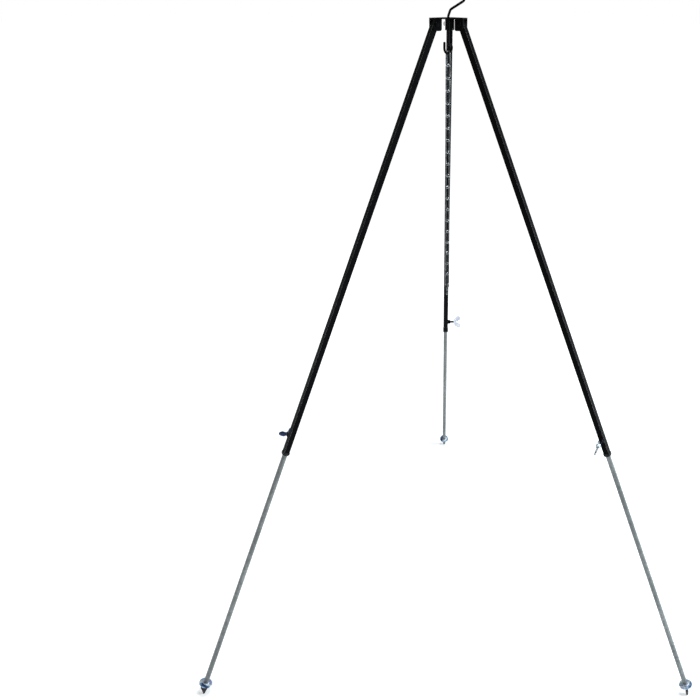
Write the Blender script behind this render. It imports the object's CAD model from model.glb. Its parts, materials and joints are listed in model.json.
"""Dresses the campfire tripod: welds, wing screws, chain, feet, finishes, floor, light and camera."""

import json
import logging
import math
from abc import ABC, abstractmethod
from collections.abc import Callable, Iterable, Iterator, Mapping
from contextlib import contextmanager
from dataclasses import dataclass, field
from enum import Enum
from typing import Any

import bmesh
import bpy
from mathutils import Matrix, Vector

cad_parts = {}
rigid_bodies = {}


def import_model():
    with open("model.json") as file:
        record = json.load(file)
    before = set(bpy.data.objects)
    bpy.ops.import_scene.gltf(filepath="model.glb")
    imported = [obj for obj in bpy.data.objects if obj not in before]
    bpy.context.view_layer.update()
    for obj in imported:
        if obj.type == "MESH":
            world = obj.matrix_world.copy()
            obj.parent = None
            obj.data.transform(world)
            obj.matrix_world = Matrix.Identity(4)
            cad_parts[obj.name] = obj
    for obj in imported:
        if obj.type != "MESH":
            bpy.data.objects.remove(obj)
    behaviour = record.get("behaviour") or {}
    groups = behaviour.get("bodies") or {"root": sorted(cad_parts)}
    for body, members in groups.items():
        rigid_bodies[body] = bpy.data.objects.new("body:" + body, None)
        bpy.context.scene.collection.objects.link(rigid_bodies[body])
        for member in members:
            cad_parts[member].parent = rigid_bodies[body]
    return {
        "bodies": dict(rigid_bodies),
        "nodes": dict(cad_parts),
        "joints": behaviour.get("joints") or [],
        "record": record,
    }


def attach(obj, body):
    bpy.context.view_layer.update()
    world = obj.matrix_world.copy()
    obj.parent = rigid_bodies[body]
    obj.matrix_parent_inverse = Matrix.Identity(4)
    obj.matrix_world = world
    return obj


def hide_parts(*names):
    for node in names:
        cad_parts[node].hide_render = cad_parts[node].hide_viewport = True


LOG = logging.getLogger("tripod")

MM = 0.001
IMAGE_SIDE = 700
SMOOTH_ANGLE = math.radians(35)
# How squarely a face has to point along an axis to count as facing it
FACING = 0.9
# How near two points have to be, in millimetres, to count as one: in a new piece, and in a CAD node
MERGE_GAP = 1e-4
NODE_MERGE_GAP = 0.005
# Faces of a CAD node that meet flatter than this are made one, and edges sharper than the second are rounded
FLAT_ANGLE = math.radians(0.5)
EDGE_ANGLE = math.radians(50)
HALF_TURN = math.pi
QUARTER_TURN = math.pi / 2

Object = bpy.types.Object
Material = bpy.types.Material
NodeTree = bpy.types.NodeTree
Node = bpy.types.Node
Socket = bpy.types.NodeSocket


class Leg(Enum):
    """The three legs, named by where they stand."""

    REAR = "rear"
    LEFT = "left"
    RIGHT = "right"


class Slot(Enum):
    """The record's material slots that the new pieces go into."""

    PAINT = "black_paint"
    BLUE_ZINC = "blue_zinc"
    ZINC_STEEL = "zinc_steel"


# ---------- shaping ----------


def deselect_all() -> None:
    """Leaves edit mode and deselects every object."""
    if bpy.context.object and bpy.context.object.mode != "OBJECT":
        bpy.ops.object.mode_set(mode="OBJECT")
    bpy.ops.object.select_all(action="DESELECT")


def make_active(piece: Object) -> None:
    """Makes a piece the one selected and active object."""
    deselect_all()
    piece.select_set(True)
    bpy.context.view_layer.objects.active = piece


@contextmanager
def editing(piece: Object, mode: str = "FACE", whole: bool = False) -> Iterator[None]:
    """Holds a piece in edit mode, with nothing or all of it selected.

    Args:
        piece: The object to edit.
        mode: What is selected in it: VERT, EDGE or FACE.
        whole: Whether all of it is selected.
    """
    make_active(piece)
    bpy.ops.object.mode_set(mode="EDIT")
    bpy.ops.mesh.select_mode(type=mode)
    bpy.ops.mesh.select_all(action="SELECT" if whole else "DESELECT")
    yield
    bpy.ops.object.mode_set(mode="OBJECT")


def select_faces(piece: Object, wanted: Callable[[Vector, Vector], bool]) -> None:
    """Selects the faces that pass a test, in edit mode.

    Args:
        piece: The object in edit mode.
        wanted: A test of a face's centre and normal.
    """
    mesh = bmesh.from_edit_mesh(piece.data)
    for face in mesh.faces:
        face.select_set(wanted(face.calc_center_median(), face.normal))
    bmesh.update_edit_mesh(piece.data)


def apply_modifiers(piece: Object) -> None:
    """Applies all of a piece's modifiers, from the top of the stack down."""
    make_active(piece)
    for modifier in list(piece.modifiers):
        bpy.ops.object.modifier_apply(modifier=modifier.name)


def named(piece: Object, name: str) -> Object:
    """Names a piece and its mesh, and returns it."""
    piece.name = piece.data.name = name
    return piece


def joined(name: str, parts: Iterable[Object]) -> Object:
    """Joins parts into one piece.

    Args:
        name: The piece's name.
        parts: The objects to join.

    Returns:
        The joined object.
    """
    whole = list(parts)
    make_active(whole[0])
    for part in whole:
        part.select_set(True)
    bpy.ops.object.join()
    return named(whole[0], name)


def apply_place(piece: Object) -> None:
    """Applies a piece's own place, turn and size to its mesh."""
    make_active(piece)
    bpy.ops.object.transform_apply(location=True, rotation=True, scale=True)


def placed(piece: Object, frame: Matrix) -> Object:
    """Moves a piece from millimetres in its own frame to metres in the tripod's.

    Args:
        piece: An object modelled in millimetres.
        frame: The frame that it belongs to.

    Returns:
        The same object, which now sits at the origin with its place in its mesh.
    """
    apply_place(piece)
    piece.data.transform(frame @ Matrix.Scale(MM, 4))
    piece.data.update()
    return piece


def copied(piece: Object, name: str) -> Object:
    """Copies a piece, with a mesh of its own.

    Args:
        piece: The object to copy.
        name: The copy's name.

    Returns:
        The copy.
    """
    copy = bpy.data.objects.new(name, piece.data.copy())
    copy.data.name = name
    bpy.context.scene.collection.objects.link(copy)
    return copy


def dressed(piece: Object, body: str, slot: Slot, finish: Material, *stands_for: str) -> Object:
    """Gives a piece its finish and its place in the tripod's table.

    Args:
        piece: The finished object.
        body: The CAD body that it rides on.
        slot: The material slot that it belongs to.
        finish: Its material.
        *stands_for: The CAD nodes that it stands for.

    Returns:
        The same object.
    """
    piece.data.materials.clear()
    piece.data.materials.append(finish)
    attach(piece, body)
    if stands_for:
        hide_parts(*stands_for)
    LOG.info("%s rides on %s", piece.name, body)
    return piece


def rounded(piece: Object, width: float, segments: int, sharper: float) -> None:
    """Rounds a piece's sharp edges and shades it smooth.

    Args:
        piece: The object.
        width: How wide the rounding is, in the mesh's own unit.
        segments: How many steps it has.
        sharper: How sharp an edge has to be for it.
    """
    bevel = piece.modifiers.new("edge", "BEVEL")
    bevel.width = width
    bevel.segments = segments
    bevel.limit_method = "ANGLE"
    bevel.angle_limit = sharper
    apply_modifiers(piece)
    bpy.ops.object.shade_smooth_by_angle(angle=SMOOTH_ANGLE)


def softened(node: Object, name: str, edge_r: float) -> Object:
    """Copies a solid and rounds its sharp edges, as tumbling or moulding does.

    Args:
        node: The CAD node.
        name: The new piece's name.
        edge_r: The edge radius in millimetres.

    Returns:
        The rounded copy.
    """
    piece = copied(node, name)
    with editing(piece, "VERT", whole=True):
        bpy.ops.mesh.customdata_custom_splitnormals_clear()
        bpy.ops.mesh.remove_doubles(threshold=NODE_MERGE_GAP * MM)
        bpy.ops.mesh.dissolve_limited(angle_limit=FLAT_ANGLE)
    rounded(piece, edge_r * MM, segments=3, sharper=EDGE_ANGLE)
    return piece


# ---------- the tripod's own frames ----------


def frame_from(z_axis: Vector, y_axis: Vector, origin: Vector) -> Matrix:
    """Makes a right-handed frame from two of its axes and its origin."""
    turn = Matrix((y_axis.cross(z_axis), y_axis, z_axis)).transposed()
    return Matrix.Translation(origin) @ turn.to_4x4()


@dataclass
class Skeleton:
    """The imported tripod: its nodes, and where its legs, clamps and chain are."""

    nodes: dict[str, Object]
    joints: dict[str, dict[str, Any]]

    @classmethod
    def load(cls) -> "Skeleton":
        """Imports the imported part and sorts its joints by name."""
        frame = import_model()
        deselect_all()
        return cls(frame["nodes"], {joint["name"]: joint for joint in frame["joints"]})

    def joint_axis(self, name: str) -> Vector:
        """Returns the unit axis of a joint."""
        return Vector(self.joints[name]["axis"]).normalized()

    def joint_place(self, name: str) -> Vector:
        """Returns the point that a joint turns about."""
        return Vector(self.joints[name]["pos_m"])

    def axis(self) -> Vector:
        """Returns the foot of the tripod's upright axis."""
        place = self.joint_place("hanger_swivel")
        return Vector((place.x, place.y, 0))

    def leg_frame(self, leg: Leg) -> Matrix:
        """Returns a leg's frame: origin at its pivot, +Z up the leg, +Y across it."""
        fold, slide = f"{leg.value}_leg_fold", f"{leg.value}_leg_slide"
        return frame_from(self.joint_axis(slide), self.joint_axis(fold), self.joint_place(fold))

    def clamp_frame(self, leg: Leg) -> Matrix:
        """Returns a clamp's frame: origin on the leg's axis, +Z out along the screw, +Y up the leg."""
        turn, slide = f"{leg.value}_screw_turn", f"{leg.value}_leg_slide"
        return frame_from(self.joint_axis(turn), self.joint_axis(slide), self.joint_place(turn))


# ---------- nodes ----------


def linear(code: str) -> tuple[float, float, float, float]:
    """Turns an sRGB hex code into a linear colour.

    Args:
        code: Six hex digits after a hash.

    Returns:
        Red, green, blue and a full alpha, all linear.
    """
    shares = [int(code[i : i + 2], 16) / 255 for i in (1, 3, 5)]
    red, green, blue = (
        share / 12.92 if share <= 0.04045 else ((share + 0.055) / 1.055) ** 2.4 for share in shares
    )
    return red, green, blue, 1.0


@dataclass(frozen=True)
class Nodes:
    """The node tree of a material or a world, and the ways of building it up."""

    tree: NodeTree

    @classmethod
    def of(cls, owner: Material | bpy.types.World) -> "Nodes":
        """Starts an empty tree in a material or a world."""
        owner.use_nodes = True
        owner.node_tree.nodes.clear()
        return cls(owner.node_tree)

    def wire(self, node: Node, inputs: Mapping[str | int, Any]) -> None:
        """Gives a node's inputs their values and links.

        Args:
            node: The node.
            inputs: A value or a socket for each of the inputs, by name or place.
        """
        for name, value in inputs.items():
            if isinstance(value, Socket):
                self.tree.links.new(value, node.inputs[name])
            else:
                node.inputs[name].default_value = value

    def add(self, kind: str, inputs: Mapping[str | int, Any] | None = None, **settings: Any) -> Node:
        """Adds a node with its settings, values and links.

        Args:
            kind: The end of the node's type, after ShaderNode.
            inputs: A value or a socket for each of its inputs, by name or place.
            **settings: Its properties.

        Returns:
            The new node.
        """
        node = self.tree.nodes.new(f"ShaderNode{kind}")
        for name, value in settings.items():
            setattr(node, name, value)
        self.wire(node, inputs or {})
        return node

    def calculated(self, operation: str, *values: Socket | float) -> Socket:
        """Calculates with patterns and numbers.

        Args:
            operation: The math node's operation.
            *values: What it works on.

        Returns:
            The result's socket.
        """
        return self.add("Math", dict(enumerate(values)), operation=operation).outputs[0]

    def mixed(self, share: Socket, first: Socket, second: Any) -> Socket:
        """Mixes two colours by a pattern.

        Args:
            share: The pattern, which is 1 where the second colour shows.
            first: The first colour.
            second: The second colour, a socket or a value.

        Returns:
            The colour socket.
        """
        inputs = {"Factor": share, "A": first, "B": second}
        return self.add("Mix", inputs, data_type="RGBA").outputs["Result"]

    def ramp(self, factor: Socket, stops: Iterable[tuple[float, str]]) -> Socket:
        """Colours a pattern by a row of hex stops.

        Args:
            factor: The pattern.
            stops: Each stop's place from 0 to 1 and its colour.

        Returns:
            The colour socket.
        """
        node = self.add("ValToRGB", {"Fac": factor})
        elements = node.color_ramp.elements
        rows = list(stops)
        while len(elements) < len(rows):
            elements.new(1.0)
        for element, (place, code) in zip(elements, rows):
            element.position = place
            element.color = linear(code)
        return node.outputs["Color"]

    def spread(
        self, factor: Socket, low: float, high: float, start: float = 0.0, stop: float = 1.0
    ) -> Socket:
        """Maps a pattern onto a range of values.

        Args:
            factor: The pattern.
            low: The value where the pattern is at its start.
            high: The value where it is at its stop.
            start: Where the pattern starts.
            stop: Where it stops.

        Returns:
            The mapped socket.
        """
        inputs = {"Value": factor, "From Min": start, "From Max": stop, "To Min": low, "To Max": high}
        return self.add("MapRange", inputs).outputs["Result"]

    def noise(self, place: Socket, size_mm: float, detail: float, stretch: float = 1.0) -> Socket:
        """Adds a noise pattern whose blotches are about a size across.

        Args:
            place: The coordinates.
            size_mm: How far apart the blotches are.
            detail: How many finer layers lie on them.
            stretch: How much longer they are along the frame's Z than across it.

        Returns:
            The pattern's socket, from 0 to 1.
        """
        scaled = self.add("Mapping", {"Vector": place, "Scale": (1.0, 1.0, 1.0 / stretch)})
        inputs = {"Vector": scaled.outputs["Vector"], "Scale": 1.0 / (size_mm * MM), "Detail": detail}
        return self.add("TexNoise", inputs).outputs["Fac"]

    def bumps(self, height: Socket, depth_mm: float) -> Socket:
        """Raises and sinks the surface by a pattern.

        Args:
            height: The pattern.
            depth_mm: How deep the pattern is at full height.

        Returns:
            The socket of the surface's new normal.
        """
        inputs = {"Height": height, "Distance": depth_mm * MM, "Strength": 1.0}
        return self.add("Bump", inputs).outputs["Normal"]


# ---------- finishes ----------


@dataclass(frozen=True)
class Finish(ABC):
    """What every finish has: a name, and the frame that its pattern is laid out in."""

    title: str
    frame: Matrix = field(default_factory=lambda: Matrix.Identity(4))

    def build(self) -> Material:
        """Builds the material.

        Returns:
            The material, a single Principled shader that the finish sets.
        """
        material = bpy.data.materials.new(self.title)
        nodes = Nodes.of(material)
        shader = nodes.add("BsdfPrincipled")
        nodes.add("OutputMaterial", {"Surface": shader.outputs["BSDF"]})
        turned = nodes.add(
            "Mapping",
            {
                "Vector": nodes.add("TexCoord").outputs["Object"],
                "Location": self.frame.to_translation(),
                "Rotation": self.frame.to_euler(),
            },
            vector_type="TEXTURE",
        )
        nodes.wire(shader, self.look(nodes, turned.outputs["Vector"]))
        return material

    @abstractmethod
    def look(self, nodes: Nodes, place: Socket) -> dict[str, Any]:
        """Lays out the finish's patterns.

        Args:
            nodes: The material's nodes.
            place: The coordinates in the pattern's frame.

        Returns:
            A value or a socket for each of the shader's inputs that it sets.
        """


@dataclass(frozen=True)
class StovePaint(Finish):
    """Black stove enamel, sprayed and baked on steel: near-black, smooth, with a faint orange peel."""

    bare_inside: bool = False
    tube_side_mm: float = 16.0
    skin_mm: float = 0.5

    def look(self, nodes: Nodes, place: Socket) -> dict[str, Any]:
        """Lays out the paint, which leaves the inside of a tube bare where that is asked for."""
        film = nodes.noise(place, size_mm=60.0, detail=4.0)
        dust = nodes.noise(place, size_mm=9.0, detail=6.0)
        peel = nodes.noise(place, size_mm=1.4, detail=2.0)
        colour = nodes.ramp(film, [(0.3, "#050506"), (0.7, "#0a0a0b")])
        metal: Socket | float = 0.0
        if self.bare_inside:
            metal = self.inner_wall(nodes, place)
            steel = nodes.ramp(dust, [(0.3, "#8d8e90"), (0.7, "#b4b5b6")])
            colour = nodes.mixed(metal, colour, steel)
        return {
            "Base Color": colour,
            "Roughness": nodes.spread(dust, low=0.30, high=0.46),
            "Metallic": metal,
            "Specular IOR Level": 0.03,
            "Normal": nodes.bumps(peel, depth_mm=0.03),
        }

    def inner_wall(self, nodes: Nodes, place: Socket) -> Socket:
        """Masks the inside of a square tube, which the spray doesn't reach.

        Args:
            nodes: The material's nodes.
            place: The coordinates in the tube's frame.

        Returns:
            1 inside the tube and 0 outside it.
        """
        parts = nodes.add("SeparateXYZ", {"Vector": place})
        across = [nodes.calculated("ABSOLUTE", parts.outputs[axis]) for axis in ("X", "Y")]
        limit = (self.tube_side_mm / 2 - self.skin_mm) * MM
        return nodes.calculated("LESS_THAN", nodes.calculated("MAXIMUM", *across), limit)


@dataclass(frozen=True)
class Galvanising(Finish):
    """Hot-dip galvanised tube, drawn through a die: dull grey zinc with faint spangles and long rub marks."""

    spangle_mm: float = 7.0
    spangle_share: float = 0.25

    def look(self, nodes: Nodes, place: Socket) -> dict[str, Any]:
        """Lays out the zinc."""
        scale = 1.0 / (self.spangle_mm * MM)
        spangle = nodes.add("TexVoronoi", {"Vector": place, "Scale": scale})
        flakes = nodes.add("SeparateColor", {"Color": spangle.outputs["Color"]})
        rubs = nodes.noise(place, size_mm=3.0, detail=4.0, stretch=30.0)
        clouds = nodes.noise(place, size_mm=45.0, detail=4.0, stretch=3.0)
        both = nodes.calculated("MULTIPLY_ADD", flakes.outputs["Red"], self.spangle_share, clouds)
        return {
            "Base Color": nodes.ramp(both, [(0.35, "#636768"), (0.6, "#757979"), (0.85, "#8b8f90")]),
            "Roughness": nodes.spread(rubs, low=0.30, high=0.46),
            "Metallic": 0.55,
            "Normal": nodes.bumps(rubs, depth_mm=0.02),
        }


Film = tuple[tuple[float, str], ...]

# The passivation film on bright zinc runs from thick, which looks navy, to thin, which looks near white.
# It comes out differently on each piece of a barrel load.
DISC_FILM: Film = (
    (0.34, "#2c4166"),
    (0.42, "#56799e"),
    (0.48, "#93b1d2"),
    (0.54, "#eef1f3"),
    (0.60, "#d3e8e0"),
    (0.68, "#a7abd4"),
)
THICK_FILM: Film = ((0.3, "#1a2743"), (0.7, "#3d5a8c"))
DULL_FILM: Film = ((0.3, "#6a6f75"), (0.7, "#aeb6bd"))
THIN_FILM: Film = ((0.3, "#c3c9dc"), (0.7, "#eceef4"))


@dataclass(frozen=True)
class BlueZinc(Finish):
    """Bright zinc plate, passivated blue: a soft gleam under a film that shifts from navy to near white."""

    film: Film = DISC_FILM
    film_mm: float = 20.0

    def look(self, nodes: Nodes, place: Socket) -> dict[str, Any]:
        """Lays out the plate and its film."""
        film = nodes.noise(place, size_mm=self.film_mm, detail=2.0)
        smears = nodes.noise(place, size_mm=4.0, detail=5.0)
        return {
            "Base Color": nodes.ramp(film, self.film),
            "Roughness": nodes.spread(smears, low=0.16, high=0.36),
            "Metallic": 0.4,
            "Normal": nodes.bumps(smears, depth_mm=0.02),
        }


@dataclass(frozen=True)
class OiledThread(Finish):
    """Zinc-plated thread left in its cutting oil: dark blue-grey, with a wet sheen on the crests."""

    def look(self, nodes: Nodes, place: Socket) -> dict[str, Any]:
        """Lays out the oiled plate."""
        oil = nodes.noise(place, size_mm=5.0, detail=4.0)
        return {
            "Base Color": nodes.ramp(oil, [(0.3, "#16181d"), (0.7, "#343a46")]),
            "Roughness": nodes.spread(oil, low=0.2, high=0.4),
            "Metallic": 0.8,
            "Normal": nodes.bumps(oil, depth_mm=0.02),
        }


@dataclass(frozen=True)
class ZincSteel(Finish):
    """Zinc-plated steel wire: mid grey with dull patches, rubbed bright where links bear on each other."""

    rub_name: str = "rub"

    def look(self, nodes: Nodes, place: Socket) -> dict[str, Any]:
        """Lays out the plated wire."""
        wear = nodes.noise(place, size_mm=11.0, detail=4.0)
        grain = nodes.noise(place, size_mm=1.5, detail=3.0)
        dull = nodes.ramp(wear, [(0.3, "#333537"), (0.55, "#484a4c"), (0.75, "#6a6c6e")])
        rub = nodes.add("Attribute", attribute_name=self.rub_name)
        return {
            "Base Color": nodes.mixed(rub.outputs["Fac"], dull, linear("#8f9193")),
            "Roughness": nodes.spread(wear, low=0.32, high=0.2),
            "Metallic": 1.0,
            "Normal": nodes.bumps(grain, depth_mm=0.03),
        }


@dataclass(frozen=True)
class BareIron(Finish):
    """Forged iron left bare: dark brown scale, with soil and rust towards the ground."""

    ground_mm: float = 22.0

    def look(self, nodes: Nodes, place: Socket) -> dict[str, Any]:
        """Lays out the iron."""
        scale = nodes.noise(place, size_mm=3.0, detail=5.0)
        height = nodes.add("SeparateXYZ", {"Vector": place})
        soil = nodes.spread(height.outputs["Z"], low=0.75, high=0.0, stop=self.ground_mm * MM)
        metal = nodes.ramp(scale, [(0.3, "#1f1a18"), (0.7, "#3a312c")])
        rust = nodes.ramp(scale, [(0.3, "#2c1d14"), (0.7, "#503624")])
        return {
            "Base Color": nodes.mixed(soil, metal, rust),
            "Roughness": nodes.spread(scale, low=0.5, high=0.75),
            "Metallic": 0.3,
            "Normal": nodes.bumps(scale, depth_mm=0.12),
        }


@dataclass(frozen=True)
class MouldedPlastic(Finish):
    """Black polypropylene, injection moulded: even black with a soft sheen and fine spark texture."""

    def look(self, nodes: Nodes, place: Socket) -> dict[str, Any]:
        """Lays out the plastic."""
        spark = nodes.noise(place, size_mm=0.8, detail=2.0)
        tone = nodes.noise(place, size_mm=12.0, detail=2.0)
        return {
            "Base Color": nodes.ramp(tone, [(0.3, "#0d0d0e"), (0.7, "#141415")]),
            "Roughness": nodes.spread(spark, low=0.45, high=0.6),
            "Specular IOR Level": 0.2,
            "Normal": nodes.bumps(spark, depth_mm=0.03),
        }


# ---------- weld beads ----------


@dataclass
class WeldBead:
    """A hand-laid weld: a row of overlapping ripples."""

    radius: float
    ripple: float = 1.3
    facets: int = 14
    ring_steps: int = 3
    start_share: float = 0.55
    end_share: float = 0.6
    swell: float = 1.14
    notch_share: float = 0.16

    def growth(self, step: int, steps: int) -> float:
        """Returns how much wider a straight bead gets at a step: it swells and narrows in turn.

        Args:
            step: The step, from 0.
            steps: How many steps the bead has, an even number.

        Returns:
            The new width as a share of the last one.
        """
        if step == 0:
            return 1 / self.start_share
        if step == steps - 1:
            return self.end_share
        return 1 / self.swell if step % 2 else self.swell

    def straight(self, length: float) -> Object:
        """Models a bead from the origin along +X.

        Args:
            length: Its length in millimetres.

        Returns:
            The bead, in millimetres.
        """
        bpy.ops.mesh.primitive_circle_add(
            vertices=self.facets,
            radius=self.start_share * self.radius,
            fill_type="NGON",
            rotation=(0, QUARTER_TURN, 0),
        )
        bead = bpy.context.object
        steps = 2 * round(length / self.ripple)
        with editing(bead, whole=True):
            for step in range(steps):
                bpy.ops.mesh.extrude_region_move(
                    TRANSFORM_OT_translate={"value": (length / steps, 0, 0)}
                )
                grown = self.growth(step, steps)
                bpy.ops.transform.resize(value=(1, grown, grown))
            bpy.ops.mesh.select_all(action="SELECT")
            bpy.ops.mesh.normals_make_consistent(inside=False)
        bpy.ops.object.shade_smooth()
        return bead

    def ring(self, seam_r: float) -> Object:
        """Models a bead round a circle in the XY plane.

        Args:
            seam_r: The circle's radius in millimetres.

        Returns:
            The bead, in millimetres.
        """
        segments = self.ring_steps * round(2 * math.pi * seam_r / self.ripple)
        bpy.ops.mesh.primitive_torus_add(
            major_radius=seam_r,
            minor_radius=self.radius,
            major_segments=segments,
            minor_segments=self.facets,
        )
        bead = bpy.context.object
        step = 2 * math.pi / segments
        with editing(bead, "VERT"):
            mesh = bmesh.from_edit_mesh(bead.data)
            for vertex in mesh.verts:
                turn = round(math.atan2(vertex.co.y, vertex.co.x) / step)
                vertex.select_set(turn % self.ring_steps == 0)
            mesh.select_flush_mode()
            bmesh.update_edit_mesh(bead.data)
            bpy.ops.transform.shrink_fatten(value=-self.notch_share * self.radius)
        bpy.ops.object.shade_smooth()
        return bead


# ---------- head ----------


@dataclass
class Head:
    """The plate, the bracket lugs welded under it, and their rivets."""

    skeleton: Skeleton
    paint: Material
    plate_edge: float = 0.7
    lug_edge: float = 0.5
    plate_above: float = 12.0
    lug_in: float = -14.0
    lug_out: float = 9.0
    lug_outer_y: float = 11.25
    lug_foot_gap: float = 1.5
    bead: WeldBead = field(default_factory=lambda: WeldBead(1.6))
    rivet_head_r: float = 5.5
    rivet_head_h: float = 2.4
    rivet_r: float = 3.0
    cut_gap: float = 1e-5

    def bracket_frame(self, leg: Leg) -> Matrix:
        """Returns the frame at a leg's bracket: origin at its pivot, +X outwards, +Z up."""
        fold = f"{leg.value}_leg_fold"
        return frame_from(Vector((0, 0, 1)), self.skeleton.joint_axis(fold), self.skeleton.joint_place(fold))

    def plate(self) -> None:
        """Rounds the cut edges of the plate and of the bracket lugs."""
        top = softened(self.skeleton.nodes["head_plate"], "plate_laser_cut", self.plate_edge)
        dressed(top, "head", Slot.PAINT, self.paint, "head_plate")
        for leg in Leg:
            node = f"{leg.value}_bracket"
            lugs = softened(self.skeleton.nodes[node], f"{leg.value}_bracket_lugs", self.lug_edge)
            dressed(lugs, "head", Slot.PAINT, self.paint, node)

    def welds(self) -> None:
        """Lays a bead along the outer foot of each lug."""
        length = self.lug_out - self.lug_in - 2 * self.lug_foot_gap
        for leg in Leg:
            beads = []
            for side in (-1, 1):
                seam = self.bead.straight(length)
                seam.location = (self.lug_in + self.lug_foot_gap, side * self.lug_outer_y, self.plate_above)
                beads.append(seam)
            seams = placed(joined(f"{leg.value}_bracket_welds", beads), self.bracket_frame(leg))
            dressed(seams, "head", Slot.PAINT, self.paint)

    def rivets(self) -> None:
        """Models each pivot rivet with two domed heads."""
        grip = 2 * self.lug_outer_y
        for leg in Leg:
            bpy.ops.mesh.primitive_cylinder_add(
                vertices=40, radius=self.rivet_r, depth=grip, rotation=(QUARTER_TURN, 0, 0)
            )
            parts = [bpy.context.object]
            for side in (-1, 1):
                bpy.ops.mesh.primitive_uv_sphere_add(segments=40, ring_count=24, radius=self.rivet_head_r)
                dome = bpy.context.object
                with editing(dome, whole=True):
                    bpy.ops.mesh.bisect(
                        plane_co=(0, 0, 0),
                        plane_no=(0, 0, 1),
                        use_fill=True,
                        clear_inner=True,
                        threshold=self.cut_gap,
                    )
                    bpy.ops.mesh.select_all(action="SELECT")
                    bpy.ops.transform.resize(value=(1, 1, self.rivet_head_h / self.rivet_head_r))
                dome.rotation_euler = (-side * QUARTER_TURN, 0, 0)
                dome.location = (0, side * grip / 2, 0)
                parts.append(dome)
            rivet = placed(joined(f"{leg.value}_rivet_domed", parts), self.bracket_frame(leg))
            bpy.ops.object.shade_smooth_by_angle(angle=SMOOTH_ANGLE)
            dressed(rivet, "head", Slot.PAINT, self.paint, f"{leg.value}_pivot_rivet")

    def build(self) -> None:
        """Builds the head."""
        self.plate()
        self.welds()
        self.rivets()


# ---------- legs ----------


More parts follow.
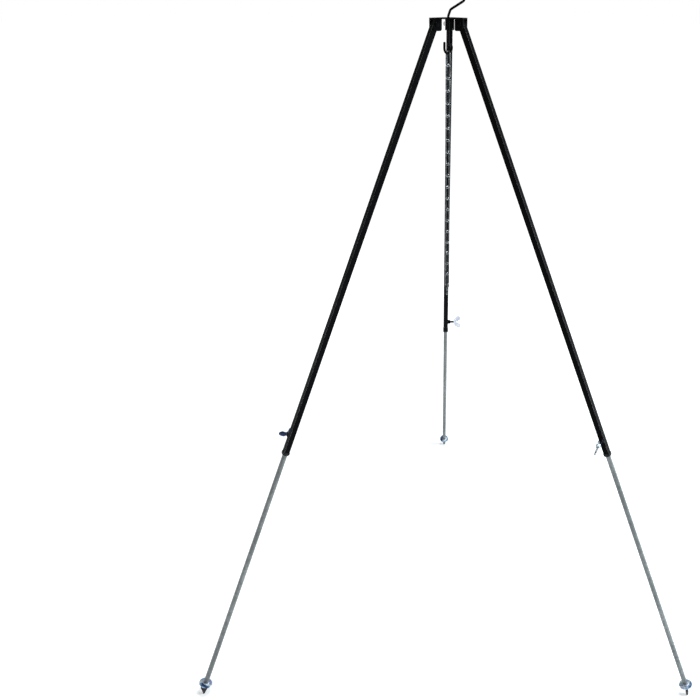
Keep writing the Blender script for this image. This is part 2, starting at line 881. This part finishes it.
@dataclass
class WingScrew:
    """A cast wing screw with a cut thread."""

    stand_off: float
    wing_turn: float
    shank_r: float = 4.0
    pitch: float = 1.25
    depth_share: float = 0.61
    ridge_share: float = 0.98
    ridge_reach: float = 1.25
    crest_in: float = 0.04
    run_in: float = 0.2
    chamfer_w: float = 0.8
    chamfer_l: float = 0.5
    into_head: float = 1.0
    tip: float = 6.85
    boss_face: float = 16.5
    hub_foot_r: float = 6.5
    hub_top_r: float = 5.0
    hub_h: float = 9.5
    crown_w: float = 1.6
    crown_h: float = 0.9
    ear_r: float = 7.5
    ear_x: float = 14.0
    ear_z: float = 17.5
    root_x: float = 9.0
    root_z: float = 9.5
    rim_w: float = 1.7
    dish: float = 0.45
    blade_t: float = 3.5
    cast_grain: float = 0.34
    cast_ease: float = 0.5
    cast_rounds: int = 9

    def thread(self, name: str) -> Object:
        """Winds the thread's ridge round a core with a chamfered tip.

        Args:
            name: The piece's name.

        Returns:
            The shank, from its tip to just inside the head, in millimetres in its clamp's frame.
        """
        shoulder = self.boss_face + self.stand_off
        length = shoulder - self.tip
        depth = self.depth_share * self.pitch
        core_l = length + self.into_head
        bpy.ops.mesh.primitive_cylinder_add(
            vertices=48,
            radius=self.shank_r - depth,
            depth=core_l,
            location=(0, 0, self.tip + core_l / 2),
        )
        core = bpy.context.object
        with editing(core):
            select_faces(core, lambda centre, normal: normal.z < -FACING)
            bpy.ops.mesh.inset(thickness=self.chamfer_w)
            bpy.ops.transform.translate(value=(0, 0, -self.chamfer_l))
        bpy.ops.mesh.primitive_circle_add(
            vertices=3, radius=1.0, location=(0, 0, 0), rotation=(QUARTER_TURN, 0, 0)
        )
        ridge = bpy.context.object
        with editing(ridge, "VERT", whole=True):
            bpy.ops.transform.rotate(value=-QUARTER_TURN, orient_axis="Y", center_override=(0, 0, 0))
        apply_place(ridge)
        low, high = bound_range(ridge)
        with editing(ridge, "VERT", whole=True):
            reach = self.ridge_reach * depth / (high.x - low.x)
            rise = self.ridge_share * self.pitch / (high.z - low.z)
            bpy.ops.transform.resize(value=(reach, 1, rise), center_override=(0, 0, 0))
        low, high = bound_range(ridge)
        with editing(ridge, "VERT", whole=True):
            bpy.ops.transform.translate(
                value=(self.shank_r - self.crest_in - high.x, 0, self.tip - low.z + self.run_in)
            )
        screw = ridge.modifiers.new("thread", "SCREW")
        screw.angle = 2 * math.pi
        screw.screw_offset = self.pitch
        screw.iterations = int((length - self.run_in) / self.pitch)
        screw.steps = screw.render_steps = 32
        screw.use_normal_calculate = True
        apply_modifiers(ridge)
        with editing(ridge, "EDGE", whole=True):
            bpy.ops.mesh.fill_holes(sides=3)
            bpy.ops.mesh.select_all(action="SELECT")
            bpy.ops.mesh.normals_make_consistent(inside=False)
        shank = joined(name, [core, ridge])
        bpy.ops.object.shade_smooth_by_angle(angle=SMOOTH_ANGLE)
        return shank

    def head(self) -> Object:
        """Models the hub and its two ears, and melts them together as a casting.

        Returns:
            The head, in millimetres, on the shoulder at the origin.
        """
        bpy.ops.mesh.primitive_cone_add(
            vertices=64,
            radius1=self.hub_foot_r,
            radius2=self.hub_top_r,
            depth=self.hub_h,
            location=(0, 0, self.hub_h / 2),
        )
        hub = bpy.context.object
        with editing(hub):
            select_faces(hub, lambda centre, normal: normal.z > FACING)
            bpy.ops.mesh.inset(thickness=self.crown_w)
            bpy.ops.transform.translate(value=(0, 0, self.crown_h))
        head = joined("head", [hub, self.wing(0.0), self.wing(HALF_TURN)])
        apply_place(head)
        melt = head.modifiers.new("melt", "REMESH")
        melt.mode = "VOXEL"
        melt.voxel_size = self.cast_grain
        ease = head.modifiers.new("ease", "SMOOTH")
        ease.factor = self.cast_ease
        ease.iterations = self.cast_rounds
        apply_modifiers(head)
        bpy.ops.object.shade_smooth()
        return head

    def wing(self, turn: float) -> Object:
        """Models one wing: a long round-ended ear with a raised rim, leaning outwards from the hub.

        Args:
            turn: Its angle round the screw.

        Returns:
            The wing, in millimetres, on the shoulder at the origin.
        """
        tip = Vector((self.ear_x, 0, self.ear_z))
        root = Vector((self.root_x, 0, self.root_z))
        reach = tip - root
        bpy.ops.mesh.primitive_cylinder_add(vertices=48, radius=self.ear_r, depth=self.blade_t)
        ear = bpy.context.object
        with editing(ear, "VERT"):
            mesh = bmesh.from_edit_mesh(ear.data)
            for vertex in mesh.verts:
                vertex.select_set(vertex.co.y > self.rim_w / 2)
            bmesh.update_edit_mesh(ear.data)
            bpy.ops.transform.translate(value=(0, reach.length, 0))
        with editing(ear):
            select_faces(ear, lambda middle, normal: abs(normal.z) > FACING)
            bpy.ops.mesh.inset(thickness=self.rim_w)
            bpy.ops.transform.resize(value=(1, 1, 1 - 2 * self.dish / self.blade_t))
        upright = Matrix.Rotation(QUARTER_TURN, 4, "X")
        lean = Matrix.Rotation(math.atan2(reach.x, reach.z), 4, "Y")
        around = Matrix.Rotation(turn, 4, "Z")
        ear.data.transform(around @ Matrix.Translation(root) @ lean @ upright)
        return ear

    def casting(self, name: str) -> Object:
        """Sets the head on the screw's shoulder.

        Args:
            name: The piece's name.

        Returns:
            The head, in millimetres in its clamp's frame.
        """
        head = named(self.head(), name)
        shoulder = Matrix.Translation((0, 0, self.boss_face + self.stand_off))
        head.data.transform(shoulder @ Matrix.Rotation(self.wing_turn, 4, "Z"))
        return head


def bound_range(piece: Object) -> tuple[Vector, Vector]:
    """Returns the lowest and highest corner of a piece's mesh."""
    places = [vertex.co for vertex in piece.data.vertices]
    low = Vector(tuple(min(place[axis] for place in places) for axis in range(3)))
    high = Vector(tuple(max(place[axis] for place in places) for axis in range(3)))
    return low, high


@dataclass
class Clamp:
    """The boss weld and the wing screw of one leg."""

    skeleton: Skeleton
    leg: Leg
    screw: WingScrew
    paint: Material
    zinc: Material
    oiled: Material
    tube_half: float = 8.0
    weld: WeldBead = field(default_factory=lambda: WeldBead(1.1))
    weld_r: float = 6.6
    weld_lift: float = 0.2
    boss_edge: float = 0.5

    def build(self) -> None:
        """Builds the boss, its weld and the screw."""
        name = self.leg.value
        frame = self.skeleton.clamp_frame(self.leg)
        boss = softened(self.skeleton.nodes[f"{name}_clamp_boss"], f"{name}_boss_turned", self.boss_edge)
        dressed(boss, f"{name}_upper", Slot.PAINT, self.paint, f"{name}_clamp_boss")
        seam = self.weld.ring(self.weld_r)
        seam.location = (0, 0, self.tube_half + self.weld_lift)
        dressed(placed(named(seam, f"{name}_boss_weld"), frame), f"{name}_upper", Slot.PAINT, self.paint)
        head = placed(self.screw.casting(f"{name}_wing_screw_cast"), frame)
        dressed(head, f"{name}_screw", Slot.BLUE_ZINC, self.zinc, f"{name}_wing_screw")
        shank = placed(self.screw.thread(f"{name}_wing_screw_thread"), frame)
        dressed(shank, f"{name}_screw", Slot.BLUE_ZINC, self.oiled)


@dataclass
class Foot:
    """A zinc disc pressed over the spike, and the bead that holds it to the tube."""

    skeleton: Skeleton
    leg: Leg
    zinc: Material
    bright: Material
    disc_r: float = 18.5
    disc_t: float = 3.0
    disc_at: float = 1920.36
    rim_r: float = 0.9
    rim_angle: float = math.radians(60)
    flat_w: float = 4.2
    step_w: float = 0.8
    ring_w: float = 4.6
    ring_depth: float = 0.35
    collar_r: float = 7.4
    weld: WeldBead = field(default_factory=lambda: WeldBead(1.3))

    def disc(self) -> Object:
        """Models the disc, with a rolled rim and a shallow pressed ring.

        Returns:
            The disc, in millimetres, centred on the origin.
        """
        bpy.ops.mesh.primitive_cylinder_add(vertices=128, radius=self.disc_r, depth=self.disc_t)
        disc = bpy.context.object
        pressed = 1 - 2 * self.ring_depth / self.disc_t
        with editing(disc):
            select_faces(disc, lambda centre, normal: abs(normal.z) > FACING)
            for width, squeeze in ((self.flat_w, pressed), (self.ring_w, 1 / pressed)):
                bpy.ops.mesh.inset(thickness=width)
                bpy.ops.mesh.inset(thickness=self.step_w)
                bpy.ops.transform.resize(value=(1, 1, squeeze))
        rounded(disc, self.rim_r, segments=4, sharper=self.rim_angle)
        return disc

    def build(self) -> None:
        """Builds the disc and its bead."""
        name = self.leg.value
        frame = self.skeleton.leg_frame(self.leg)
        centre = Matrix.Translation((0, 0, -self.disc_at * MM))
        disc = named(self.disc(), f"{name}_foot_washer")
        dressed(placed(disc, frame @ centre), f"{name}_lower", Slot.BLUE_ZINC, self.zinc, f"{name}_foot_disc")
        seam = self.weld.ring(self.collar_r)
        seam.location = (0, 0, self.disc_t / 2)
        bead = named(seam, f"{name}_foot_weld")
        dressed(placed(bead, frame @ centre), f"{name}_lower", Slot.BLUE_ZINC, self.bright)


# ---------- chain ----------


@dataclass
class Chain:
    """Twenty long links of butt-welded wire."""

    skeleton: Skeleton
    steel: Material
    links: int = 20
    wire_r: float = 2.0
    bend_r: float = 6.0
    straight: float = 23.3
    hook_seat_z: float = 1735.0
    pitch: float = 31.0
    clear_l: float = 31.3
    planes: tuple[float, float] = (225.0, 135.0)
    weld_r: float = 0.5
    weld_in: float = 0.05

    def link(self) -> Object:
        """Models one link in the XZ plane: half a ring is stretched down and mirrored, and its weld is added.

        Returns:
            The link, in millimetres, centred on the origin, with its worn ends marked for the finish.
        """
        bpy.ops.mesh.primitive_torus_add(
            major_radius=self.bend_r,
            minor_radius=self.wire_r,
            major_segments=40,
            minor_segments=20,
            rotation=(QUARTER_TURN, 0, 0),
        )
        link = bpy.context.object
        apply_place(link)
        with editing(link, "VERT", whole=True):
            bpy.ops.mesh.bisect(
                plane_co=(0, 0, 0), plane_no=(0, 0, 1), clear_inner=True, threshold=MERGE_GAP
            )
            bpy.ops.mesh.select_all(action="DESELECT")
            bpy.ops.mesh.select_non_manifold()
            bpy.ops.mesh.extrude_region_move(
                TRANSFORM_OT_translate={"value": (0, 0, -self.straight / 2)}
            )
            bpy.ops.mesh.select_all(action="SELECT")
            bpy.ops.transform.translate(value=(0, 0, self.straight / 2))
        mirror = link.modifiers.new("other half", "MIRROR")
        mirror.use_axis = (False, False, True)
        mirror.merge_threshold = MERGE_GAP
        apply_modifiers(link)
        with editing(link, whole=True):
            bpy.ops.mesh.remove_doubles(threshold=MERGE_GAP)
            bpy.ops.mesh.normals_make_consistent(inside=False)
        bpy.ops.mesh.primitive_torus_add(
            major_radius=self.wire_r - self.weld_in,
            minor_radius=self.weld_r,
            major_segments=28,
            minor_segments=10,
            location=(self.bend_r, 0, 0),
        )
        link = joined("link", [link, bpy.context.object])
        apply_place(link)
        bpy.ops.object.shade_smooth()
        rub = link.data.attributes.new(ZincSteel.rub_name, "FLOAT", "POINT")
        for vertex in link.data.vertices:
            into_bend = (abs(vertex.co.z) - self.straight / 2) / self.bend_r
            rub.data[vertex.index].value = min(1.0, max(0.0, into_bend))
        return link

    def build(self) -> None:
        """Copies the link down the chain, each a quarter turn from the last."""
        pattern = self.link()
        for number in range(1, self.links + 1):
            node = f"chain_link_{number:02d}"
            plane = math.radians(self.planes[number % 2])
            middle = self.hook_seat_z - number * self.pitch + self.clear_l / 2
            frame = Matrix.Translation(self.skeleton.axis()) @ Matrix.Translation((0, 0, middle * MM))
            link = copied(pattern, f"welded_link_{number:02d}")
            piece = placed(link, frame @ Matrix.Rotation(plane, 4, "Z"))
            dressed(piece, f"link_{number:02d}", Slot.ZINC_STEEL, self.steel, node)
        bpy.data.objects.remove(pattern)


# ---------- studio ----------


@dataclass
class Studio:
    """The floor, the sky dome, the lamps and the camera."""

    axis: Vector
    floor_half: float = 60.0
    floor_grey: str = "#f2f2f2"
    floor_glow: tuple[float, float] = (0.45, 0.88)
    floor_glow_reach: tuple[float, float] = (0.7, 2.6)
    zenith: str = "#9a9ea2"
    horizon: str = "#ffffff"
    dome_strength: float = 0.5
    dome_fade: tuple[float, float] = (0.02, 0.55)
    lamp_aim: float = 0.9
    focal_px: float = 688.17
    centre_px: tuple[float, float] = (444.39, 282.50)
    camera_place: tuple[float, float, float] = (-0.00837, -1.79041, 1.85494)
    yaw: float = 0.00065
    pitch: float = 0.38983
    roll: float = 0.00338
    sensor_mm: float = 36.0
    clip_far: float = 200.0

    def floor(self) -> None:
        """Lays a plain white floor that keeps soft shadows."""
        bpy.ops.mesh.primitive_plane_add(size=2 * self.floor_half)
        floor = bpy.context.object
        floor.name = "studio_floor"
        material = bpy.data.materials.new("white_studio_floor")
        nodes = Nodes.of(material)
        shader = nodes.add(
            "BsdfPrincipled",
            {"Base Color": linear(self.floor_grey), "Roughness": 1.0, "Specular IOR Level": 0.0},
        )
        rays = nodes.add("LightPath").outputs
        seen = nodes.calculated("MAXIMUM", rays["Is Camera Ray"], rays["Is Glossy Ray"])
        through = nodes.calculated("MAXIMUM", seen, rays["Is Transmission Ray"])
        place = nodes.add("TexCoord").outputs["Object"]
        away = nodes.add("VectorMath", {0: place, 1: self.axis}, operation="DISTANCE").outputs["Value"]
        fade = nodes.spread(away, *self.floor_glow, *self.floor_glow_reach)
        strength = nodes.calculated("MULTIPLY", through, fade)
        glow = nodes.add("Emission", {"Color": (1, 1, 1, 1), "Strength": strength})
        both = nodes.add("AddShader", {0: shader.outputs["BSDF"], 1: glow.outputs["Emission"]})
        nodes.add("OutputMaterial", {"Surface": both.outputs["Shader"]})
        floor.data.materials.append(material)

    def dome(self) -> None:
        """Makes the surroundings: plain white to the camera, and greyer overhead in what they light."""
        world = bpy.data.worlds.new("studio_dome")
        bpy.context.scene.world = world
        nodes = Nodes.of(world)
        parts = nodes.add("SeparateXYZ", {"Vector": nodes.add("TexCoord").outputs["Generated"]})
        colour = nodes.ramp(parts.outputs["Z"], zip(self.dome_fade, (self.horizon, self.zenith)))
        seen = nodes.add("LightPath").outputs["Is Camera Ray"]
        shown = nodes.mixed(seen, colour, linear(self.horizon))
        strength = nodes.spread(seen, low=self.dome_strength, high=1.0)
        background = nodes.add("Background", {"Color": shown, "Strength": strength})
        nodes.add("OutputWorld", {"Surface": background.outputs["Background"]})

    def lamp(
        self, name: str, place: tuple[float, float, float], size: float, watts: float, tint: str
    ) -> None:
        """Hangs a square soft box aimed at the middle of the tripod.

        Args:
            name: The lamp's name.
            place: Where it hangs, from the tripod's axis.
            size: Its side in metres.
            watts: Its power.
            tint: Its colour.
        """
        data = bpy.data.lights.new(name, "AREA")
        data.shape = "SQUARE"
        data.size = size
        data.energy = watts
        data.color = linear(tint)[:3]
        lamp = bpy.data.objects.new(name, data)
        bpy.context.scene.collection.objects.link(lamp)
        lamp.location = self.axis + Vector(place)
        aim = self.axis + Vector((0, 0, self.lamp_aim)) - lamp.location
        lamp.rotation_euler = aim.to_track_quat("-Z", "Y").to_euler()

    def camera(self) -> None:
        """Sets up the camera."""
        data = bpy.data.cameras.new("camera")
        camera = bpy.data.objects.new("camera", data)
        bpy.context.scene.collection.objects.link(camera)
        bpy.context.scene.camera = camera
        data.sensor_width = self.sensor_mm
        data.lens = self.sensor_mm * self.focal_px / IMAGE_SIDE
        data.shift_x = (IMAGE_SIDE / 2 - self.centre_px[0]) / IMAGE_SIDE
        data.shift_y = (self.centre_px[1] - IMAGE_SIDE / 2) / IMAGE_SIDE
        data.clip_end = self.clip_far
        ahead = Vector(
            (
                math.sin(self.yaw) * math.cos(self.pitch),
                math.cos(self.yaw) * math.cos(self.pitch),
                -math.sin(self.pitch),
            )
        )
        level = Vector((math.cos(self.yaw), -math.sin(self.yaw), 0))
        right = math.cos(self.roll) * level + math.sin(self.roll) * level.cross(ahead)
        turn = Matrix((right, right.cross(ahead), -ahead)).transposed()
        camera.matrix_world = Matrix.Translation(self.axis + Vector(self.camera_place)) @ turn.to_4x4()

    def build(self) -> None:
        """Builds the floor, the dome and the lamps."""
        self.floor()
        self.dome()
        self.lamp("window", (3.2, -0.2, 2.0), size=1.6, watts=150.0, tint="#d9ebf2")
        self.lamp("overhead_box", (0.3, -0.5, 3.9), size=0.7, watts=60.0, tint="#ffffff")
        bpy.context.scene.view_settings.view_transform = "Standard"


# ---------- the whole tripod ----------


@dataclass
class Finishes:
    """The finishes of the tripod, laid out leg by leg where they follow a tube."""

    skeleton: Skeleton

    def __post_init__(self) -> None:
        """Builds each material once."""
        self.paint = StovePaint("black_stove_enamel").build()
        self.disc_zinc = BlueZinc("blue_passivated_zinc").build()
        self.screw_zinc = {
            Leg.REAR: BlueZinc("thin_blue_passivated_zinc", film=THIN_FILM).build(),
            Leg.LEFT: BlueZinc("thick_blue_passivated_zinc", film=THICK_FILM).build(),
            Leg.RIGHT: BlueZinc("dull_blue_passivated_zinc", film=DULL_FILM).build(),
        }
        self.oiled = OiledThread("oiled_zinc_thread").build()
        self.wire = ZincSteel("zinc_plated_wire").build()
        self.iron = BareIron("bare_forged_iron").build()
        self.plastic = MouldedPlastic("black_polypropylene").build()
        self.tube_paint: dict[Leg, Material] = {}
        self.tube_zinc: dict[Leg, Material] = {}
        for leg in Leg:
            frame = self.skeleton.leg_frame(leg)
            self.tube_paint[leg] = StovePaint(
                f"black_stove_enamel_{leg.value}_tube", frame, bare_inside=True
            ).build()
            self.tube_zinc[leg] = Galvanising(f"galvanised_{leg.value}_tube", frame).build()

    def of_node(self, name: str) -> Material:
        """Returns the finish of a CAD node."""
        side = next((leg for leg in Leg if name.startswith(leg.value)), Leg.REAR)
        endings = {
            "upper_leg": self.tube_paint[side],
            "lower_leg": self.tube_zinc[side],
            "foot_spike": self.iron,
            "end_bush": self.plastic,
            "pot_hook": self.wire,
        }
        return next((finish for ending, finish in endings.items() if name.endswith(ending)), self.paint)

    def dress_solids(self) -> None:
        """Gives each CAD node that stays its finish."""
        for name, node in self.skeleton.nodes.items():
            if node.hide_render:
                continue
            finish = self.of_node(name)
            node.data.materials.clear()
            node.data.materials.append(finish)
            LOG.info("%s is %s", name, finish.name)


def main() -> None:
    """Builds the dressed tripod in its studio."""
    logging.basicConfig(level=logging.INFO, format="%(name)s: %(message)s")
    skeleton = Skeleton.load()
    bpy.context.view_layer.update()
    studio = Studio(skeleton.axis())
    studio.camera()
    finishes = Finishes(skeleton)
    Head(skeleton, finishes.paint).build()
    screws = {
        Leg.REAR: WingScrew(stand_off=12.5, wing_turn=math.radians(58)),
        Leg.LEFT: WingScrew(stand_off=1.8, wing_turn=math.radians(150)),
        Leg.RIGHT: WingScrew(stand_off=15.0, wing_turn=math.radians(61)),
    }
    for leg, screw in screws.items():
        Clamp(skeleton, leg, screw, finishes.paint, finishes.screw_zinc[leg], finishes.oiled).build()
        Foot(skeleton, leg, finishes.disc_zinc, finishes.screw_zinc[Leg.REAR]).build()
    Chain(skeleton, finishes.wire).build()
    finishes.dress_solids()
    studio.build()


if __name__ == "__main__":
    main()
